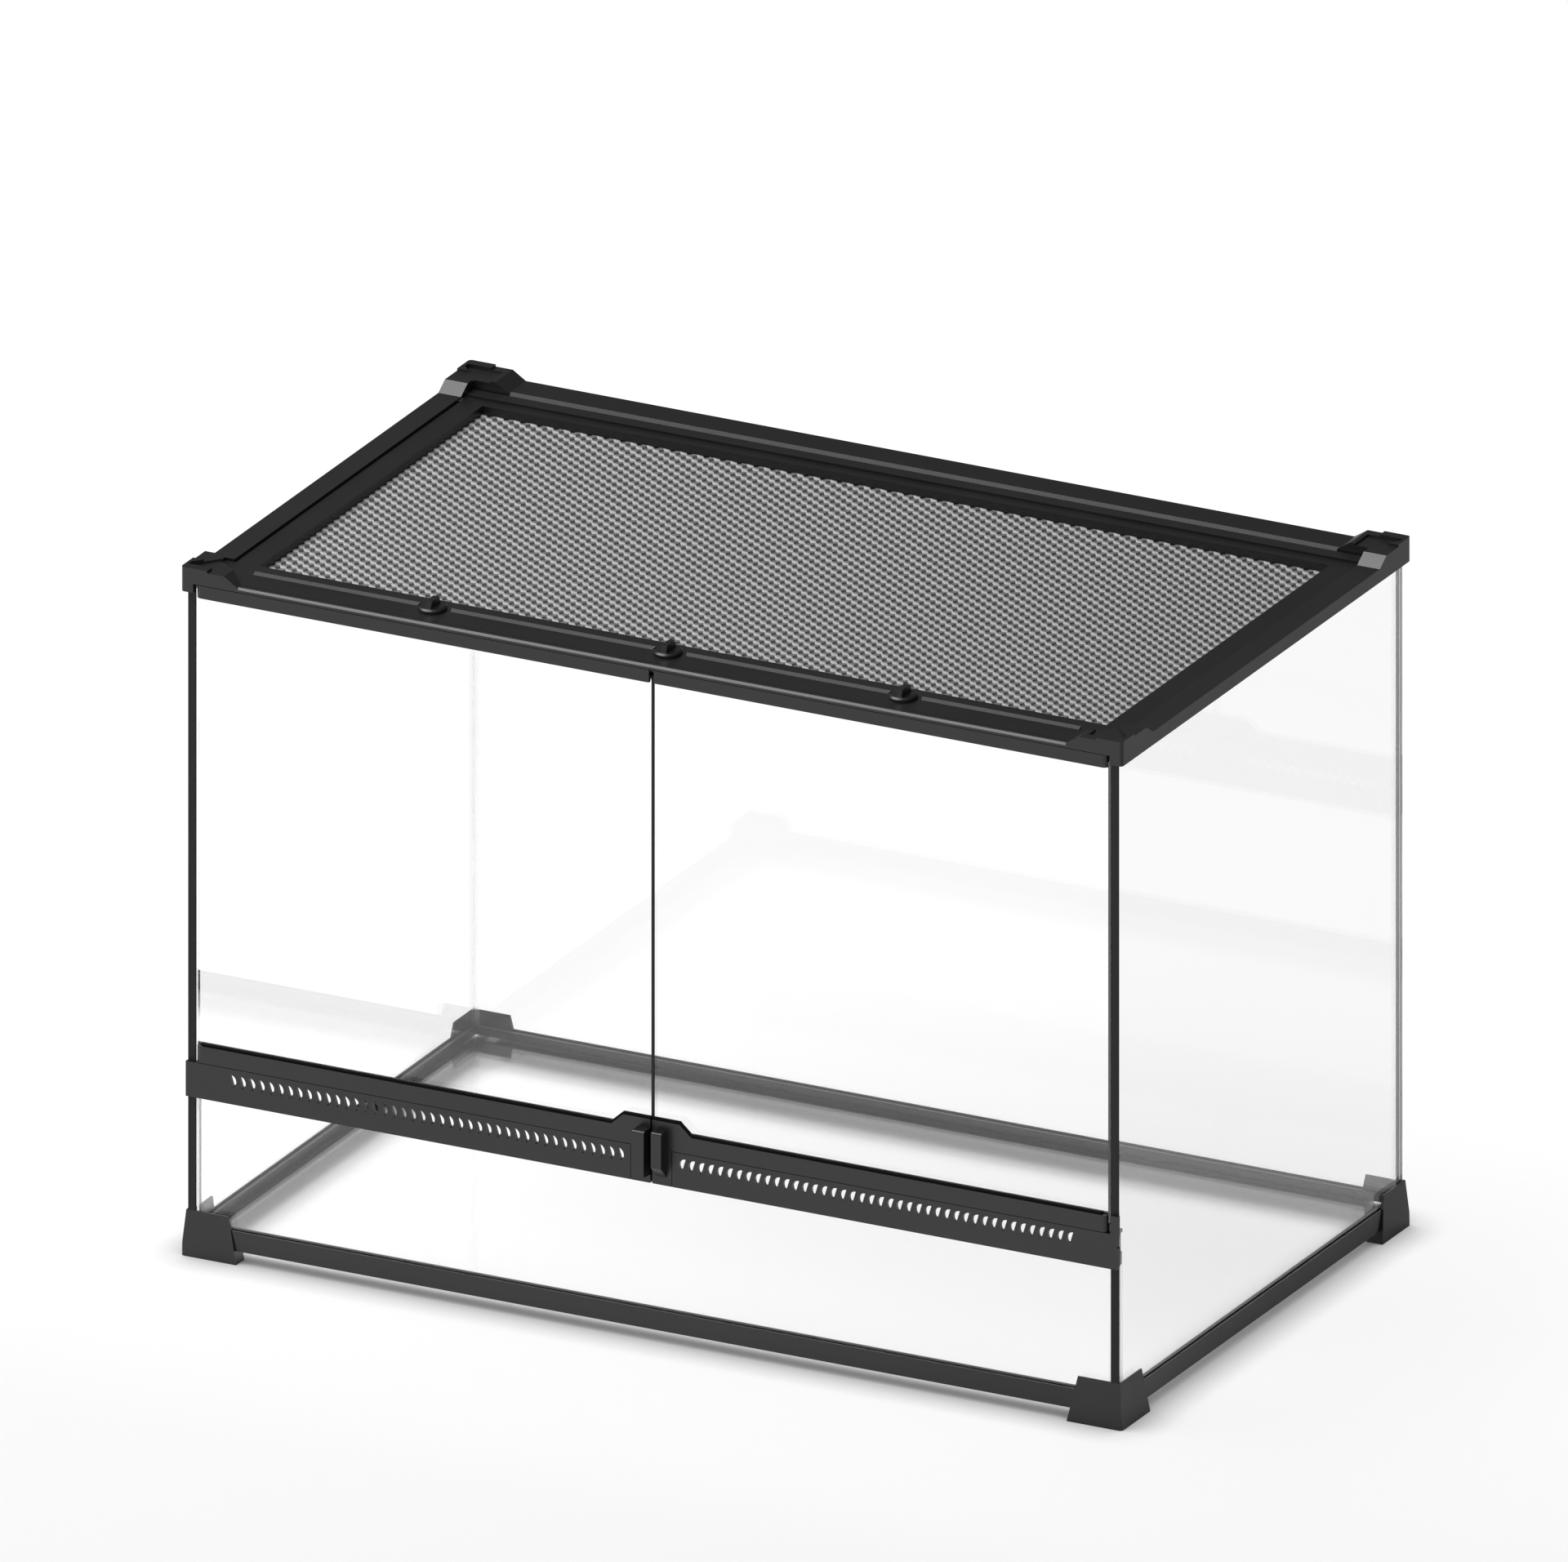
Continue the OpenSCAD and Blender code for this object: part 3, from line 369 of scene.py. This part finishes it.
# %% Lid screen
def build_screen():
    """One mesh of all strands: crowned top, slit edges that lean forward, and underside."""
    mesh = bmesh.new()
    low, high = sheet_low[2], sheet_high[2]
    hole_x, hole_y = HOLE_X_MM * MM, HOLE_Y_MM * MM
    for x, y in rhomb_centres():
        levels = (rhomb_corners(x, y, half_x, half_y, high),
                  rhomb_corners(x, y, hole_x, hole_y, high - CROWN_MM * MM, TWIST_MM * MM),
                  rhomb_corners(x, y - SLANT_MM * MM, hole_x, HOLE_LOW_SHARE * hole_y, low),
                  rhomb_corners(x, y, half_x, half_y, low))
        rings = [[mesh.verts.new(c) for c in level] for level in levels]
        for band, (ring, below) in enumerate(zip(rings, rings[1:])):
            for side in range(4):
                after = (side + 1) % 4
                face = mesh.faces.new((ring[side], ring[after], below[after], below[side]))
                # painted light and shade by face: crown faces get the lighter or the darker grey by strand
                # direction, slit walls the near-black painted shade, the underside the lighter grey
                face.material_index = (side % 2, 2, 0)[band]
    bmesh.ops.remove_doubles(mesh, verts=mesh.verts, dist=WELD_MM * MM)
    return mesh


def trim_to_sheet(mesh):
    """Cuts the lattice to the sheet's edges and closes the cut strands."""
    for axis in (0, 1):
        for edge, sign in ((sheet_low[axis], -1), (sheet_high[axis], 1)):
            point, normal = [0.0, 0.0, 0.0], [0.0, 0.0, 0.0]
            point[axis], normal[axis] = edge, sign
            everything = mesh.verts[:] + mesh.edges[:] + mesh.faces[:]
            bmesh.ops.bisect_plane(mesh, geom=everything, plane_co=point, plane_no=normal, clear_outer=True)
    bmesh.ops.holes_fill(mesh, edges=[e for e in mesh.edges if e.is_boundary], sides=0)
    bmesh.ops.recalc_face_normals(mesh, faces=mesh.faces)


screen_mesh = build_screen()
trim_to_sheet(screen_mesh)
screen_data = bpy.data.meshes.new("lid_screen")
screen_mesh.to_mesh(screen_data)
screen_mesh.free()
screen = add_piece("lid_screen", screen_data, strand_painted_lit, strand_painted_shade, slit_edge_painted_shade)
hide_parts("lid_mesh")
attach(screen, "lid")
print("screen:", len(screen_data.polygons), "faces")

# %% [markdown]
# ## Glazing gaskets
# Each door pane is sealed to its bottom rail by a rubber gasket: a thin black cord that sits on the front lip
# of the rail and leans against the pane. Its near-black, dull rubber is painted shade: it draws the dark band
# along the top of the rail, where the rail's back lip lies in shadow. It follows the rail and then climbs
# over the centre tab. It could be a straight strip, but the real one is soft and rounded on top, so a small
# rounded section is swept along the path.

# %% Gasket section
GASKET_HIGH_MM = 1.5
GASKET_FOOT_MM = 0.1
GASKET_INSET_MM = 0.5
GASKET_END_MM = 3.2
MIDDLE_ROOM_MM = 0.2
PANE_ROOM_MM = 0.05
TAB_FLAT_MM = 15.0
ROUND_STEPS = 6


def gasket_section(front, back):
    """The (y, z) outline of the gasket: a flat foot pressed on the lip and a rounded top."""
    middle_y, radius = (front + back) / 2, (back - front) / 2
    turns = [math.pi * step / ROUND_STEPS for step in range(ROUND_STEPS + 1)]
    top = [(middle_y - radius * math.cos(t), GASKET_HIGH_MM * MM - radius * (1 - math.sin(t))) for t in turns]
    return [(front, -GASKET_FOOT_MM * MM), *top, (back, -GASKET_FOOT_MM * MM)]


print("gasket:", GASKET_HIGH_MM, "mm high")

# %% Gaskets
def sweep_gasket(name, path, front, back):
    """Sweeps the section along a path of (x, z) points and closes both ends."""
    mesh = bmesh.new()
    section = gasket_section(front, back)
    rings = [[mesh.verts.new((x, y, z + rise)) for y, rise in section] for x, z in path]
    count = len(section)
    for ring, after in zip(rings, rings[1:]):
        for i in range(count):
            mesh.faces.new((ring[i], ring[(i + 1) % count], after[(i + 1) % count], after[i]))
    mesh.faces.new(rings[0])
    mesh.faces.new(rings[-1])
    bmesh.ops.recalc_face_normals(mesh, faces=mesh.faces)
    data = bpy.data.meshes.new(name)
    mesh.to_mesh(data)
    mesh.free()
    # painted shade: the gasket is drawn in the near-black rubber that stands for the shaded back lip of the
    # rail
    return add_piece(name, data, gasket_painted_shade)


for side, sign in (("left", -1), ("right", 1)):
    rail_low, rail_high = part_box(f"door_{side}_bottom_rail")
    tab_low, tab_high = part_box(f"door_{side}_handle")
    pane_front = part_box(f"door_{side}_glass")[0][1]
    xs = sorted((abs(tab_low[0]), abs(tab_high[0])))
    rail_end = max(abs(rail_low[0]), abs(rail_high[0])) - GASKET_END_MM * MM
    path = [(xs[0] + MIDDLE_ROOM_MM * MM, tab_high[2]), (TAB_FLAT_MM * MM, tab_high[2]),
            (xs[1], rail_high[2]), (rail_end, rail_high[2])]
    gasket = sweep_gasket(f"door_{side}_gasket", [(sign * x, z) for x, z in path],
                          rail_low[1] + GASKET_INSET_MM * MM, pane_front - PANE_ROOM_MM * MM)
    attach(gasket, f"door_{side}")
    print(gasket.name, "from", [round(v, 4) for v in path[0]], "to", [round(v, 4) for v in path[-1]])

# %% [markdown]
# ## Studio
# The tank stands on a white sweep. To the camera, and in glass or metal, the floor is white, but what it
# sends to the object is ordinary bounce light. The parts of the tank that come close to the floor leave a
# soft contact shadow on it. It is a little deeper where it is seen through the panes, and the panes mirror a
# floor that darkens to the back right, so that their reflections stay as faint as the photo's. A large soft
# box up on the left gives the bright line along each edge that faces up and forward, and a dim sky fills the
# rest.

# %% Floor levels
CONTACT_REACH_MM = 22
CONTACT_SAMPLES = 12
FRONT_Y, FRONT_LEVEL = -0.35, 0.87
BACK_Y, BACK_LEVEL = 0.1, 1.07
MIRRORED_NEAR, MIRRORED_NEAR_LEVEL = -0.15, 1.0
MIRRORED_FAR, MIRRORED_FAR_LEVEL = 0.25, 0.48
THROUGH_LEVEL = 1.03
SHADE_DEPTH, SHADE_DEPTH_THROUGH = 1.3, 5.5


def floor_level(tree, rays):
    """How bright the floor glows: by place, by the kind of ray and by the contact shadow."""
    place = add_node(tree, "ShaderNodeTexCoord").outputs["Object"]
    split = add_node(tree, "ShaderNodeSeparateXYZ", inputs={"Vector": place})
    behind = add_node(tree, "ShaderNodeMath", {"operation": "ADD"}, {
        0: split.outputs["X"], 1: split.outputs["Y"]})
    mirrored = add_node(tree, "ShaderNodeMapRange", inputs={
        "Value": behind.outputs[0], "From Min": MIRRORED_NEAR, "From Max": MIRRORED_FAR,
        "To Min": MIRRORED_NEAR_LEVEL, "To Max": MIRRORED_FAR_LEVEL})
    open_floor = add_node(tree, "ShaderNodeMapRange", inputs={
        "Value": split.outputs["Y"], "From Min": FRONT_Y, "From Max": BACK_Y,
        "To Min": FRONT_LEVEL, "To Max": BACK_LEVEL})
    direct = add_node(tree, "ShaderNodeMix", {"data_type": "FLOAT"}, {
        0: rays.outputs["Is Glossy Ray"], 2: open_floor.outputs["Result"], 3: mirrored.outputs["Result"]})
    through = rays.outputs["Is Transmission Ray"]
    unshaded = add_node(tree, "ShaderNodeMix", {"data_type": "FLOAT"}, {
        0: through, 2: direct.outputs[0], 3: THROUGH_LEVEL})
    contact = add_node(tree, "ShaderNodeAmbientOcclusion", {"samples": CONTACT_SAMPLES}, {
        "Distance": CONTACT_REACH_MM * MM})
    depth = add_node(tree, "ShaderNodeMix", {"data_type": "FLOAT"}, {
        0: through, 2: SHADE_DEPTH, 3: SHADE_DEPTH_THROUGH})
    shade = add_node(tree, "ShaderNodeMath", {"operation": "POWER"}, {
        0: contact.outputs["AO"], 1: depth.outputs[0]})
    return add_node(tree, "ShaderNodeMath", {"operation": "MULTIPLY"}, {
        0: shade.outputs[0], 1: unshaded.outputs[0]})


print("floor levels in front and behind:", FRONT_LEVEL, BACK_LEVEL)

# %% Floor
FLOOR_SIZE = 12.0
PAPER = (0.8, 0.8, 0.8, 1.0)
PAPER_SHOWN = (0.2, 0.2, 0.2, 1.0)


def white_sweep(name):
    """A matt floor that reads as white where nothing shades it."""
    finish, tree = new_finish(name)
    rays = add_node(tree, "ShaderNodeLightPath")
    paper = add_node(tree, "ShaderNodeBsdfDiffuse", inputs={"Color": PAPER})
    shown = add_node(tree, "ShaderNodeBsdfDiffuse", inputs={"Color": PAPER_SHOWN})
    glow = add_node(tree, "ShaderNodeEmission", inputs={
        "Strength": floor_level(tree, rays).outputs[0], "Color": PAPER})
    lit = add_node(tree, "ShaderNodeAddShader", inputs={0: shown.outputs[0], 1: glow.outputs[0]})
    seen = add_node(tree, "ShaderNodeMath", {"operation": "MAXIMUM"}, {
        0: rays.outputs["Is Camera Ray"], 1: rays.outputs["Is Transmission Ray"]})
    seen_or_mirrored = add_node(tree, "ShaderNodeMath", {"operation": "MAXIMUM"}, {
        0: seen.outputs[0], 1: rays.outputs["Is Glossy Ray"]})
    both = add_node(tree, "ShaderNodeMixShader", inputs={
        0: seen_or_mirrored.outputs[0], 1: paper.outputs[0], 2: lit.outputs[0]})
    show_surface(tree, both)
    return finish


floor_data = bpy.data.meshes.new("floor")
half = FLOOR_SIZE / 2
corners = [(-half, -half, 0), (half, -half, 0), (half, half, 0), (-half, half, 0)]
floor_data.from_pydata(corners, [], [(0, 1, 2, 3)])
floor = add_piece("floor", floor_data, white_sweep("paper_sweep_white"))
print("floor:", FLOOR_SIZE, "m across")

# %% Sky and lamps
SKY_LEVEL = 0.75
SKY_BACK_SHARE = 0.2
SKY_CHANGE = 0.6
LAMP_AIM_HEIGHT = 0.17


def build_sky():
    """White to the camera and through glass; for lighting, brighter in front of the tank than behind."""
    world = bpy.data.worlds.new("studio_sky")
    world.use_nodes = True
    tree = world.node_tree
    tree.nodes.clear()
    ways = add_node(tree, "ShaderNodeTexCoord")
    split = add_node(tree, "ShaderNodeSeparateXYZ", inputs={"Vector": ways.outputs["Generated"]})
    level = add_node(tree, "ShaderNodeMapRange", inputs={
        "Value": split.outputs["Y"], "From Min": -SKY_CHANGE, "From Max": SKY_CHANGE,
        "To Min": SKY_LEVEL, "To Max": SKY_LEVEL * SKY_BACK_SHARE})
    rays = add_node(tree, "ShaderNodeLightPath")
    seen = add_node(tree, "ShaderNodeMath", {"operation": "MAXIMUM"}, {
        0: rays.outputs["Is Camera Ray"], 1: rays.outputs["Is Transmission Ray"]})
    strength = add_node(tree, "ShaderNodeMix", {"data_type": "FLOAT"}, {
        0: seen.outputs[0], 2: level.outputs["Result"], 3: THROUGH_LEVEL})
    light = add_node(tree, "ShaderNodeBackground", inputs={"Strength": strength.outputs[0]})
    add_node(tree, "ShaderNodeOutputWorld", inputs={"Surface": light.outputs[0]})
    return world


def soft_box(name, direction, distance, size, power):
    """A square area lamp that looks at the tank from a direction."""
    lamp = bpy.data.lights.new(name, "AREA")
    lamp.shape = "SQUARE"
    lamp.size = size
    lamp.energy = power
    holder = bpy.data.objects.new(name, lamp)
    way = Vector(direction).normalized()
    holder.location = way * distance + Vector((0, 0, LAMP_AIM_HEIGHT))
    holder.rotation_euler = way.to_track_quat("Z", "Y").to_euler()
    bpy.context.collection.objects.link(holder)
    return holder


bpy.context.scene.world = build_sky()
soft_box("soft_box_left", (-0.42, -0.17, 0.88), distance=1.9, size=1.6, power=46)
print("sky level:", SKY_LEVEL)

# %% [markdown]
# ## Camera
# The photo has no vanishing points: upright, left-to-right and front-to-back edges all stay parallel. So the
# camera is a parallel one. Its turn and height come from the corners of the tank in the photo.

# %% Camera
PHOTO_W = 1920
AZIMUTH, ELEVATION = math.radians(27.1), math.radians(21.5)
PIXELS_PER_MM = 2.59
LOOK_RIGHT_MM, LOOK_UP_MM = 5.57, -54.12
TANK_DEPTH, TANK_MIDDLE = 0.3, 0.175
CAMERA_DISTANCE, VIEW_DEPTH = 3, 20

level_way = math.cos(ELEVATION)
back = Vector((math.sin(AZIMUTH) * level_way, -math.cos(AZIMUTH) * level_way, math.sin(ELEVATION)))
right = Vector((math.cos(AZIMUTH), math.sin(AZIMUTH), 0))
up = back.cross(right)
camera_data = bpy.data.cameras.new("camera")
camera_data.type = "ORTHO"
camera_data.ortho_scale = PHOTO_W / PIXELS_PER_MM * MM
camera_data.clip_end = VIEW_DEPTH
camera = bpy.data.objects.new("camera", camera_data)
pull_reach = (cad_high[1] - cad_low[1] - TANK_DEPTH) / 2
aim = Vector((0, pull_reach, TANK_MIDDLE)) - right * LOOK_RIGHT_MM * MM - up * LOOK_UP_MM * MM
camera.location = aim + back * CAMERA_DISTANCE
camera.rotation_euler = back.to_track_quat("Z", "Y").to_euler()
bpy.context.collection.objects.link(camera)
bpy.context.scene.camera = camera
bpy.context.scene.view_settings.view_transform = "Standard"
print("camera frame:", round(camera_data.ortho_scale, 4), "m wide")
